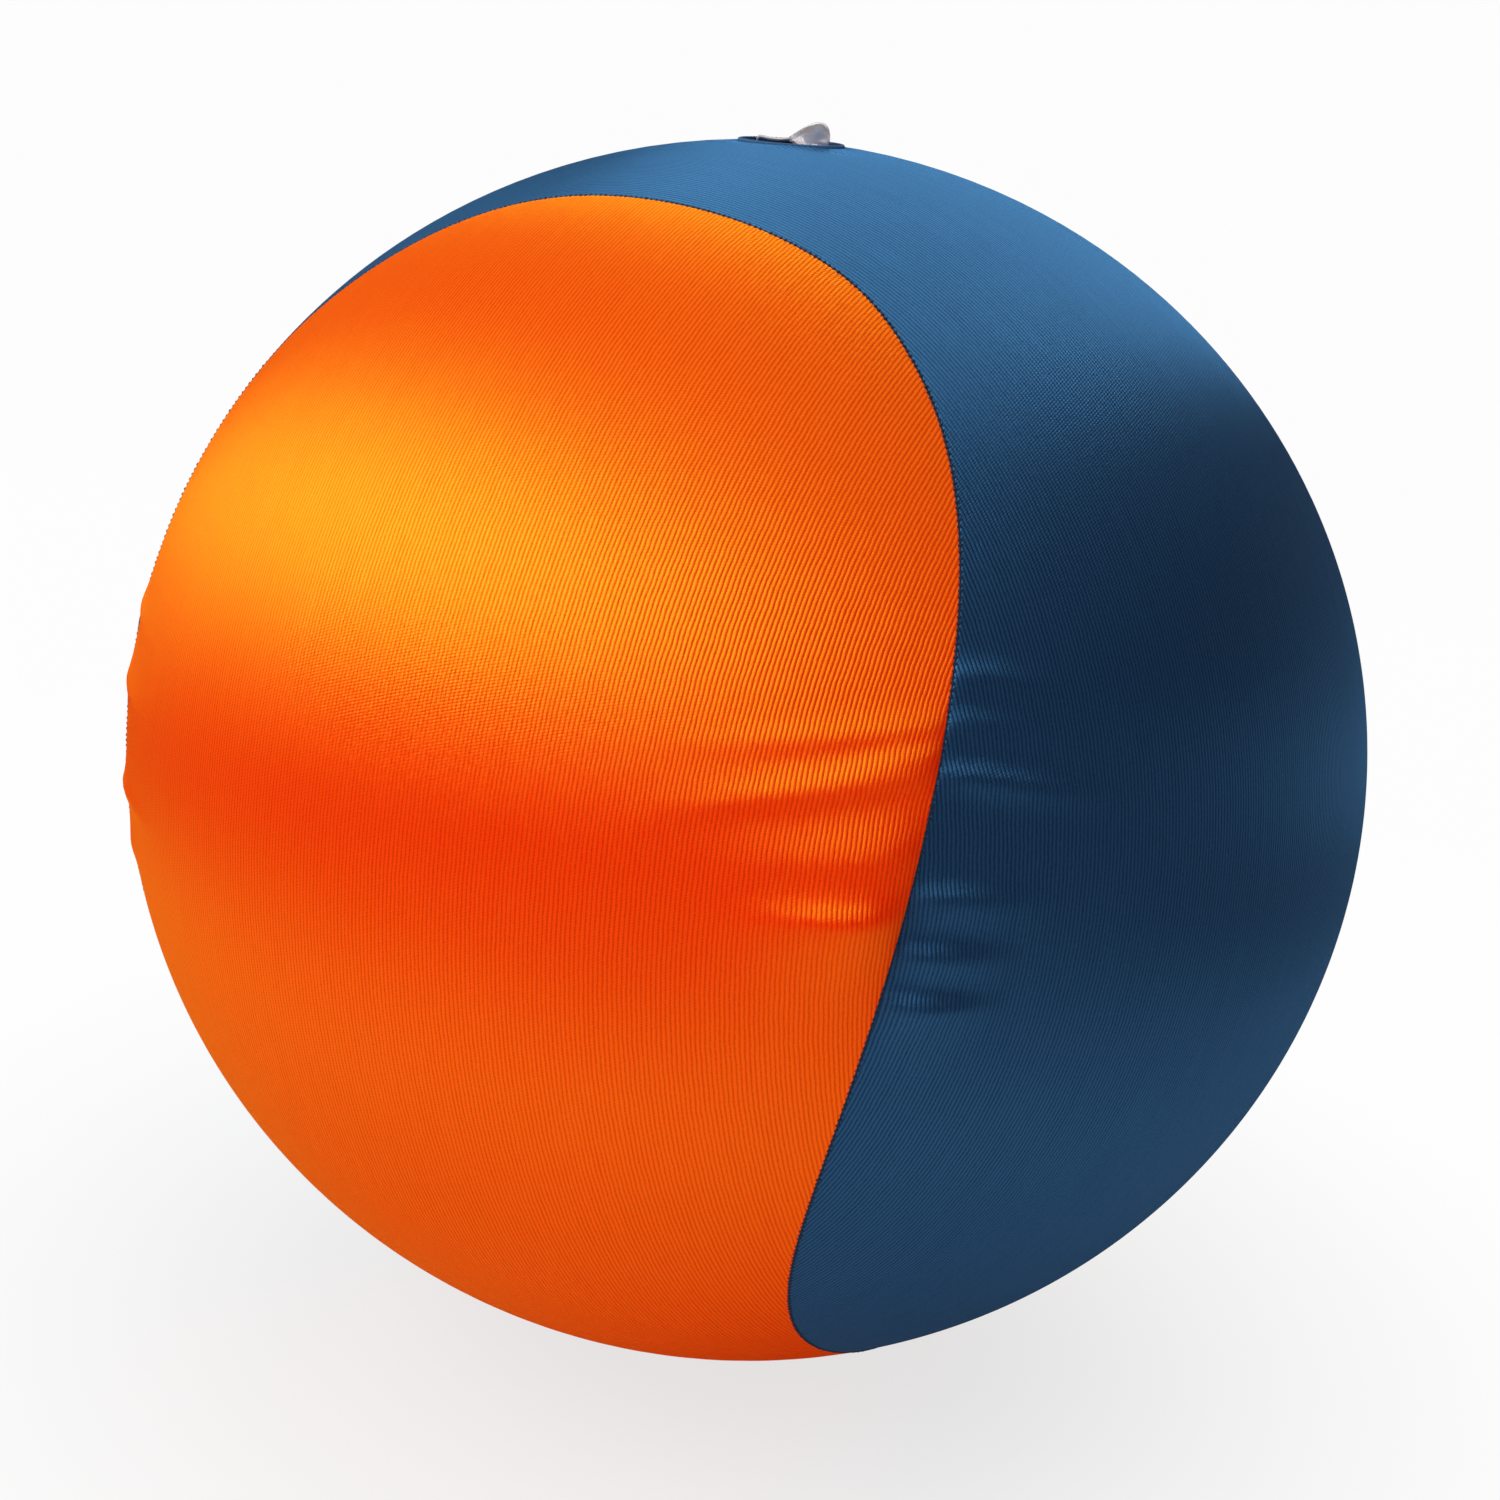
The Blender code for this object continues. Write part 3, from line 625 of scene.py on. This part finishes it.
# %% [markdown]
# The seam is overlocked from inside with a dark navy thread. What shows is a row of tiny stitches across the groove,
# about three to every four millimetres. They could be drawn in a material, but would then be flat at the ball's edge.
# So one stitch is modelled from a sphere, pressed long and with its ends pulled down into the cloth.

# %% One stitch
STITCH_SIZE = (0.00078, 0.00034, 0.00024)
STITCH_END_DROP = 0.00018


def select_where(obj, test):
    """Edit mode with just the vertices that pass the test selected."""
    bpy.ops.object.mode_set(mode="EDIT")
    bpy.ops.mesh.select_mode(type="VERT")
    bpy.ops.mesh.select_all(action="DESELECT")
    work = bmesh.from_edit_mesh(obj.data)
    for vertex in work.verts:
        vertex.select = bool(test(vertex.co))
    work.select_flush(True)
    bmesh.update_edit_mesh(obj.data)


bpy.ops.object.select_all(action="DESELECT")
bpy.ops.mesh.primitive_uv_sphere_add(segments=6, ring_count=5, radius=1)
stitch = bpy.context.object
bpy.ops.object.mode_set(mode="EDIT")
bpy.ops.mesh.select_all(action="SELECT")
bpy.ops.transform.rotate(value=math.pi / 2, orient_axis="Y", center_override=(0, 0, 0))
bpy.ops.transform.resize(value=STITCH_SIZE, center_override=(0, 0, 0))
select_where(stitch, lambda co: abs(co.x) > STITCH_SIZE[0] * 0.7)
bpy.ops.transform.translate(value=(0, 0, -STITCH_END_DROP))
bpy.ops.object.mode_set(mode="OBJECT")
stitch_points = np.array([v.co for v in stitch.data.vertices])
stitch_faces = [list(p.vertices) for p in stitch.data.polygons]
bpy.data.objects.remove(stitch)
print("a stitch of", len(stitch_faces), "faces")

# %% [markdown]
# The stitch is copied along the whole seam in one mesh. Each copy leans a little and sits a little higher or lower, as
# thread does, and under them a core thread lies in the groove.

# %% Seam stitches
STITCH_PITCH = 0.00135
STITCH_LEAN, LEAN_SPREAD = 18, 6
SEAT_DEPTH, SEAT_SPREAD = 0.00002, 0.00003
CORE_RADIUS = 0.00040
CORE_DEPTH = 0.00042
CORE_SIDES = 6
count = int(seam_length / STITCH_PITCH)
stops = np.interp((np.arange(count) + 0.5) / count * seam_length, np.append(seam_travel, seam_length),
                  np.append(seam_angles, 2 * np.pi))
near = np.round(stops / (2 * np.pi) * SEAM_SAMPLES).astype(int) % SEAM_SAMPLES
outward = seam_line[near] @ COVER_TURN.T
ahead = seam_ahead[near] @ COVER_TURN.T
aside = seam_side[near] @ COVER_TURN.T
wobble = np.random.default_rng(7).normal(0, 1, (count, 3))
lean = np.radians(STITCH_LEAN + LEAN_SPREAD * wobble[:, 0])
cross = aside * np.cos(lean)[:, None] + ahead * np.sin(lean)[:, None]
beside = np.cross(outward, cross)
seat = on_ball(seam_line[near], -SEAT_DEPTH + SEAT_SPREAD * wobble[:, 1])
points = (seat[:, None] + cross[:, None] * stitch_points[None, :, :1]
          + beside[:, None] * stitch_points[None, :, 1:2]
          + outward[:, None] * stitch_points[None, :, 2:]).reshape(-1, 3)
faces = [[v + i * len(stitch_points) for v in face] for i in range(count) for face in stitch_faces]
turns = np.arange(CORE_SIDES) * 2 * math.pi / CORE_SIDES
core = on_ball(seam_line[near], np.full(count, -CORE_DEPTH))
core = core[:, None] + CORE_RADIUS * (np.cos(turns)[None, :, None] * aside[:, None]
                                      + np.sin(turns)[None, :, None] * outward[:, None])
start = len(points)
for i in range(count):
    for j in range(CORE_SIDES):
        a, b = start + i * CORE_SIDES, start + (i + 1) % count * CORE_SIDES
        faces.append([a + j, a + (j + 1) % CORE_SIDES, b + (j + 1) % CORE_SIDES, b + j])
points = np.concatenate([points, core.reshape(-1, 3)])
mesh = bpy.data.meshes.new("seam_stitches")
mesh.from_pydata(points.tolist(), [], faces)
seam_stitches = bpy.data.objects.new("seam_stitches", mesh)
bpy.context.collection.objects.link(seam_stitches)


def close_up(obj):
    """Doubles merged, faces turned out and shaded smooth."""
    bpy.ops.object.select_all(action="DESELECT")
    obj.select_set(True)
    bpy.context.view_layer.objects.active = obj
    bpy.ops.object.mode_set(mode="EDIT")
    bpy.ops.mesh.select_all(action="SELECT")
    bpy.ops.mesh.remove_doubles(threshold=0.000001)
    bpy.ops.mesh.normals_make_consistent(inside=False)
    bpy.ops.object.mode_set(mode="OBJECT")
    bpy.ops.object.shade_smooth()


close_up(seam_stitches)
print("seam", count, "stitches,", len(seam_stitches.data.polygons), "faces")

# %% [markdown]
# The opening's edge is turned in and overlocked with a bluer thread, so it stands a little proud of the cover. It
# starts as a torus, every third ring of which is drawn tight, as the thread does at each wrap. It is then pressed to
# the opening's oval and tipped as the cover is there.

# %% Overlocked opening edge
EDGING_RING_RADIUS = 0.0119
EDGING_RADIUS = 0.0005
EDGING_HALF_DEPTH = 0.0066
EDGING_LIFT = 0.0006
EDGING_WRAPS = 72
WRAP_BITE = 0.00010
tip = math.atan2(cap_height(OPENING_CENTRE.x - EDGING_RING_RADIUS, 0)
                 - cap_height(OPENING_CENTRE.x + EDGING_RING_RADIUS, 0), 2 * EDGING_RING_RADIUS)
rest = (cap_height(OPENING_CENTRE.x - EDGING_RING_RADIUS, 0)
        + cap_height(OPENING_CENTRE.x + EDGING_RING_RADIUS, 0)) / 2
bpy.ops.object.select_all(action="DESELECT")
bpy.ops.mesh.primitive_torus_add(major_radius=EDGING_RING_RADIUS, minor_radius=EDGING_RADIUS,
                                 major_segments=EDGING_WRAPS * 3, minor_segments=12)
opening_overlock = bpy.context.object
opening_overlock.name = "opening_overlock"


def tight_ring(co):
    step = math.atan2(co.y, co.x) / (2 * math.pi) * EDGING_WRAPS * 3
    return round(step) % 3 == 0


select_where(opening_overlock, tight_ring)
bpy.ops.transform.shrink_fatten(value=-WRAP_BITE)
bpy.ops.mesh.select_all(action="SELECT")
bpy.ops.transform.resize(value=(1, EDGING_HALF_DEPTH / EDGING_RING_RADIUS, 1), center_override=(0, 0, 0))
bpy.ops.object.mode_set(mode="OBJECT")
opening_overlock.rotation_euler = (0, tip, 0)
opening_overlock.location = (OPENING_CENTRE.x, 0, rest + EDGING_LIFT)
bpy.ops.object.transform_apply(location=True, rotation=True, scale=True)
close_up(opening_overlock)
print("edging", EDGING_WRAPS, "wraps, tipped", round(math.degrees(tip), 2), "degrees")

# %% [markdown]
# Overlock thread is textured polyester, soft and matt: dark navy along the seam, and bluer round the opening. Its fine
# twist shows as small light and dark flecks.

# %% Overlock thread
TWIST_SIZE = 0.0004


def overlock_thread(name, shade, light):
    material, tree, shader = new_material(name)
    shader.inputs["Roughness"].default_value = 0.75
    shader.inputs["Specular IOR Level"].default_value = 0.25
    place = add_node(tree, "ShaderNodeTexCoord")
    twist = add_node(tree, "ShaderNodeTexNoise", {"Vector": place.outputs["Object"], "Scale": 1 / TWIST_SIZE,
                     "Detail": 2.0})
    fleck = add_node(tree, "ShaderNodeValToRGB", {"Fac": twist.outputs["Fac"]})
    fleck.color_ramp.elements[0].color, fleck.color_ramp.elements[1].color = linear(shade), linear(light)
    relief = add_node(tree, "ShaderNodeBump", {"Height": twist.outputs["Fac"], "Distance": 0.00006})
    tree.links.new(fleck.outputs["Color"], shader.inputs["Base Color"])
    tree.links.new(relief.outputs["Normal"], shader.inputs["Normal"])
    return material


seam_stitches.data.materials.append(overlock_thread("navy overlock thread", "#0B1420", "#27384C"))
opening_overlock.data.materials.append(overlock_thread("blue edging thread", "#22456B", "#42709E"))
for piece, node, slot in ((seam_stitches, "seam_thread", "thread"), (opening_overlock, "opening_edging", "edging")):
    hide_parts(node)
    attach(piece, "ball")
print("two overlock threads")

# %% [markdown]
# Under the cover is the bladder: six gores of soft vinyl film, welded edge to edge, and a round disc over each end.
# A whole sphere would hide the welds, so one gore is a sphere cut down to a sixth by two bisecting planes, trimmed at
# both ends and given the film's thickness. Its five sisters are turned copies.

# %% Bladder gores
BLADDER_DEPTH = 0.0019
FILM_THICKNESS = 0.0004
GORE_END_RADIUS = 0.0215
GORES = 6
WELD_HALF_ANGLE = 0.0008


def keep_side(point, normal):
    """Cuts the active object with a plane and drops what lies on its normal's side."""
    bpy.ops.object.mode_set(mode="EDIT")
    bpy.ops.mesh.select_all(action="SELECT")
    bpy.ops.mesh.bisect(plane_co=point, plane_no=normal, clear_outer=True)
    bpy.ops.object.mode_set(mode="OBJECT")


def thicken(obj, thickness, offset=-1):
    wall = obj.modifiers.new("film", "SOLIDIFY")
    wall.thickness, wall.offset = thickness, offset
    bpy.ops.object.modifier_apply(modifier=wall.name)
    bpy.ops.object.shade_smooth()


bpy.ops.object.select_all(action="DESELECT")
bpy.ops.mesh.primitive_uv_sphere_add(segments=96, ring_count=64, radius=1, location=BALL_CENTRE)
gore = bpy.context.object
gore.scale = (EQUATOR_RADIUS - BLADDER_DEPTH, EQUATOR_RADIUS - BLADDER_DEPTH, POLE_RADIUS - BLADDER_DEPTH)
bpy.ops.object.transform_apply(location=True, rotation=True, scale=True)
half_gore = math.pi / GORES - WELD_HALF_ANGLE
end_height = (POLE_RADIUS - BLADDER_DEPTH) * math.sqrt(1 - (GORE_END_RADIUS / EQUATOR_RADIUS) ** 2)
keep_side(BALL_CENTRE, (-math.sin(half_gore), math.cos(half_gore), 0))
keep_side(BALL_CENTRE, (-math.sin(half_gore), -math.cos(half_gore), 0))
keep_side(BALL_CENTRE + Vector((0, 0, end_height)), (0, 0, 1))
keep_side(BALL_CENTRE - Vector((0, 0, end_height)), (0, 0, -1))
thicken(gore, FILM_THICKNESS)
gores = []
for number in range(GORES):
    sister = gore.copy()
    sister.data = gore.data.copy()
    sister.name = f"bladder_film_{number + 1}"
    sister.data.transform(Matrix.Rotation(2 * math.pi * (number + 0.5) / GORES, 4, "Z"))
    bpy.context.collection.objects.link(sister)
    gores.append(sister)
bpy.data.objects.remove(gore)
print("bladder", len(gores), "gores of", len(gores[0].data.polygons), "faces")

# %% [markdown]
# The discs over the gores' ends are dished as the ball is. A circle is extruded inwards ring by ring, each ring at the
# ball's own height there. The top disc keeps a hole for the valve, and the bottom one is closed.

# %% Bladder end discs
DISC_RADIUS = 0.024
DISC_DEPTH = 0.0013
DISC_STEPS = 6
VALVE_HOLE_RADIUS = 0.0088
CLOSED_RADIUS = 0.0005
bpy.ops.object.select_all(action="DESELECT")


def end_disc(name, inner, side):
    """A film disc over the gores' ends, dished as the ball is, with a hole of the inner radius."""
    def lay(r):
        return side * (POLE_RADIUS - DISC_DEPTH) * math.sqrt(1 - (r / EQUATOR_RADIUS) ** 2) + BALL_CENTRE.z

    bpy.ops.mesh.primitive_circle_add(vertices=64, radius=DISC_RADIUS)
    disc = bpy.context.object
    disc.name = name
    bpy.ops.object.mode_set(mode="EDIT")
    bpy.ops.mesh.select_all(action="SELECT")
    bpy.ops.transform.translate(value=(0, 0, lay(DISC_RADIUS)))
    radius = DISC_RADIUS
    for step in range(1, DISC_STEPS + 1):
        inset = DISC_RADIUS + (inner - DISC_RADIUS) * step / DISC_STEPS
        bpy.ops.mesh.extrude_region_move(TRANSFORM_OT_translate={"value": (0, 0, lay(inset) - lay(radius))})
        bpy.ops.transform.resize(value=(inset / radius, inset / radius, 1), center_override=(0, 0, 0))
        radius = inset
    if inner <= CLOSED_RADIUS:
        bpy.ops.mesh.edge_face_add()
    bpy.ops.mesh.select_all(action="SELECT")
    bpy.ops.mesh.normals_make_consistent(inside=False)
    bpy.ops.object.mode_set(mode="OBJECT")
    thicken(disc, FILM_THICKNESS, 0)
    print(name, len(disc.data.polygons), "faces")
    return disc


top_disc = end_disc("bladder_film_top", VALVE_HOLE_RADIUS, 1)
bottom_disc = end_disc("bladder_film_bottom", CLOSED_RADIUS, -1)

# %% [markdown]
# The valve is the usual blow valve of inflatables, moulded in clear soft vinyl. Its stem hangs on a thin dished skirt
# and is pushed into the ball, so that only the plug stands out. The skirt starts as a circle that is extruded inwards
# and down ring by ring.

# %% Valve skirt
VALVE_SEAT = 0.2938
# radius of each ring and its height from the valve seat, in millimetres
SKIRT_RINGS = [(9.0, -2.05), (8.5, -2.15), (7.8, -2.7), (7.1, -3.7), (6.5, -4.9), (6.0, -6.1), (5.6, -7.3),
               (5.2, -8.4), (4.8, -9.1), (4.45, -9.3)]
bpy.ops.object.select_all(action="DESELECT")
bpy.ops.mesh.primitive_circle_add(vertices=48, radius=SKIRT_RINGS[0][0] / 1000,
                                  location=(0, 0, VALVE_SEAT + SKIRT_RINGS[0][1] / 1000))
skirt = bpy.context.object
skirt.name = "valve_fold"
bpy.ops.object.transform_apply(location=True, rotation=True, scale=True)
bpy.ops.object.mode_set(mode="EDIT")
bpy.ops.mesh.select_all(action="SELECT")
for (radius, height), (inner, lower) in zip(SKIRT_RINGS, SKIRT_RINGS[1:]):
    bpy.ops.mesh.extrude_region_move(TRANSFORM_OT_translate={"value": (0, 0, (lower - height) / 1000)})
    bpy.ops.transform.resize(value=(inner / radius, inner / radius, 1), center_override=(0, 0, 0))
bpy.ops.mesh.select_all(action="SELECT")
bpy.ops.mesh.normals_make_consistent(inside=False)
bpy.ops.object.mode_set(mode="OBJECT")
thicken(skirt, FILM_THICKNESS, 0)
print("skirt", len(skirt.data.polygons), "faces")

# %% [markdown]
# The plug's shank fills the stem, and its head is a drop: steep on the right, and running out on the left into the
# strap that ties it. It grows from a small circle, ring by ring, each moved and scaled to the drop's outline, and two
# subdivisions round it as a moulding is. A lathe would be quicker, but the drop isn't round.

# %% Plug
# height, reach to the left, reach to the right and half depth of each ring, in millimetres
PLUG_RINGS = [(-5.9, 2.2, 2.2, 2.2), (-5.4, 2.8, 2.8, 2.8), (-0.5, 2.85, 2.85, 2.85), (-0.2, 3.7, 3.7, 3.8),
              (0.3, 4.7, 4.1, 4.1), (0.9, 5.8, 4.25, 4.1), (1.6, 5.0, 4.3, 4.0), (2.5, 3.9, 4.25, 3.75),
              (3.4, 2.7, 4.05, 3.3), (4.2, 1.5, 3.7, 2.6), (4.9, 0.3, 3.1, 1.75), (5.35, -0.7, 2.4, 0.85)]
bpy.ops.object.select_all(action="DESELECT")
bpy.ops.mesh.primitive_circle_add(vertices=24, radius=PLUG_RINGS[0][1] / 1000, fill_type="NGON",
                                  location=(0, 0, VALVE_SEAT + PLUG_RINGS[0][0] / 1000))
plug = bpy.context.object
plug.name = "plug_drop"
bpy.ops.object.transform_apply(location=True, rotation=True, scale=True)
bpy.ops.object.mode_set(mode="EDIT")
bpy.ops.mesh.select_all(action="SELECT")
for (low, left, right, deep), (high, to_left, to_right, to_deep) in zip(PLUG_RINGS, PLUG_RINGS[1:]):
    move = ((to_right - to_left) - (right - left)) / 2000
    bpy.ops.mesh.extrude_region_move(TRANSFORM_OT_translate={"value": (move, 0, (high - low) / 1000)})
    centre = ((to_right - to_left) / 2000, 0, VALVE_SEAT + high / 1000)
    bpy.ops.transform.resize(value=((to_left + to_right) / (left + right), to_deep / deep, 1),
                             center_override=centre)
bpy.ops.object.mode_set(mode="OBJECT")


def round_off(obj, levels):
    rounding = obj.modifiers.new("rounding", "SUBSURF")
    rounding.levels = rounding.render_levels = levels
    bpy.ops.object.modifier_apply(modifier=rounding.name)


round_off(plug, 2)
close_up(plug)
print("plug", len(plug.data.polygons), "faces")

# %% [markdown]
# The strap is a thin tongue of the same moulding. It leaves the stem's rim, turns back on itself near the opening's
# edge and runs up into the plug's head. A curve with a bevel would be round, so a narrow plane is its first stretch,
# and its end edge is extruded along the strap's side view.

# %% Plug strap
STRAP_WIDTH = 0.0036
STRAP_THICKNESS = 0.0007
# side view from the stem to the head: across and up from the valve seat, in millimetres
STRAP_PATH = [(-4.4, -1.05), (-7.0, -1.05), (-9.4, -1.05), (-11.2, -1.05), (-12.2, -0.65), (-12.55, 0.2),
              (-12.2, 0.95), (-11.2, 0.8), (-9.4, 0.55), (-7.4, 0.6), (-5.8, 0.85), (-4.2, 1.2)]
bpy.ops.object.select_all(action="DESELECT")
bpy.ops.mesh.primitive_plane_add(size=STRAP_WIDTH)
strap = bpy.context.object
strap.name = "plug_strap"
first, second = (Vector((x / 1000, 0, VALVE_SEAT + z / 1000)) for x, z in STRAP_PATH[:2])
select_where(strap, lambda co: co.x > 0)
bpy.ops.transform.translate(value=first - Vector((STRAP_WIDTH / 2, 0, 0)))
select_where(strap, lambda co: co.z < 0.1)
bpy.ops.transform.translate(value=second + Vector((STRAP_WIDTH / 2, 0, 0)))
for (x, z), (to_x, to_z) in zip(STRAP_PATH[1:], STRAP_PATH[2:]):
    bpy.ops.mesh.extrude_region_move(TRANSFORM_OT_translate={"value": ((to_x - x) / 1000, 0, (to_z - z) / 1000)})
bpy.ops.mesh.select_all(action="SELECT")
bpy.ops.mesh.normals_make_consistent(inside=False)
bpy.ops.object.mode_set(mode="OBJECT")
wall = strap.modifiers.new("moulding", "SOLIDIFY")
wall.thickness, wall.offset = STRAP_THICKNESS, 0
bpy.ops.object.modifier_apply(modifier=wall.name)
round_off(strap, 2)
close_up(strap)
print("strap", len(strap.data.polygons), "faces")

# %% [markdown]
# Clear soft PVC is moulded glossy, with a faint grey cast, slightly cloudy where it was handled. The strap is the same
# vinyl, greyed and scuffed by bending, and the film is thin and milky. All let light through, and all get a soft
# unevenness in gloss and surface.

# %% Clear vinyl and film
HAZE_SIZE = 0.004


def clear_vinyl(name, tone, cloud, through, gloss):
    material, tree, shader = new_material(name)
    shader.inputs["IOR"].default_value = 1.53
    shader.inputs["Transmission Weight"].default_value = through
    place = add_node(tree, "ShaderNodeTexCoord")
    haze = add_node(tree, "ShaderNodeTexNoise", {"Vector": place.outputs["Object"], "Scale": 1 / HAZE_SIZE,
                    "Detail": 3.0})
    tint = add_node(tree, "ShaderNodeValToRGB", {"Fac": haze.outputs["Fac"]})
    tint.color_ramp.elements[0].position, tint.color_ramp.elements[1].position = 0.35, 0.7
    tint.color_ramp.elements[0].color, tint.color_ramp.elements[1].color = linear(tone), linear(cloud)
    rough = add_node(tree, "ShaderNodeMapRange", {"Value": haze.outputs["Fac"], "To Min": gloss,
                     "To Max": gloss + 0.25})
    relief = add_node(tree, "ShaderNodeBump", {"Height": haze.outputs["Fac"], "Distance": 0.00006, "Strength": 0.5})
    tree.links.new(tint.outputs["Color"], shader.inputs["Base Color"])
    tree.links.new(rough.outputs[0], shader.inputs["Roughness"])
    tree.links.new(relief.outputs["Normal"], shader.inputs["Normal"])
    return material


moulded_vinyl = clear_vinyl("clear moulded vinyl", "#D6CFD6", "#F4EFF4", 0.78, 0.06)
strap_vinyl = clear_vinyl("scuffed vinyl strap", "#8A8894", "#B2B0BA", 0.40, 0.20)
vinyl_film = clear_vinyl("milky vinyl film", "#C9CBCE", "#DDDEE0", 0.35, 0.25)
for number, piece in enumerate(gores):
    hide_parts(f"bladder_gore_{number + 1}")
for piece, node in ((top_disc, "bladder_top_disc"), (bottom_disc, "bladder_bottom_disc")):
    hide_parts(node)
for piece in gores + [top_disc, bottom_disc]:
    piece.data.materials.append(vinyl_film)
    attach(piece, "ball")
for piece, node, vinyl in ((plug, "valve_plug", moulded_vinyl), (strap, "plug_tether", strap_vinyl),
                           (skirt, "valve_skirt", moulded_vinyl)):
    piece.data.materials.append(vinyl)
    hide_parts(node)
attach(plug, "plug")
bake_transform(strap)
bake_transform(skirt)
for node in ("valve_stem", "check_flap"):
    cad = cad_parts[node]
    cad.material_slots[0].material = moulded_vinyl
print("clear vinyl on the valve, film on the bladder")

# %% [markdown]
# The two panels are the cloth of the cover. The knit is cut some 4 percent small each way and stretched over the
# bladder.

# %% Cloth panels
print("two cloth panels")
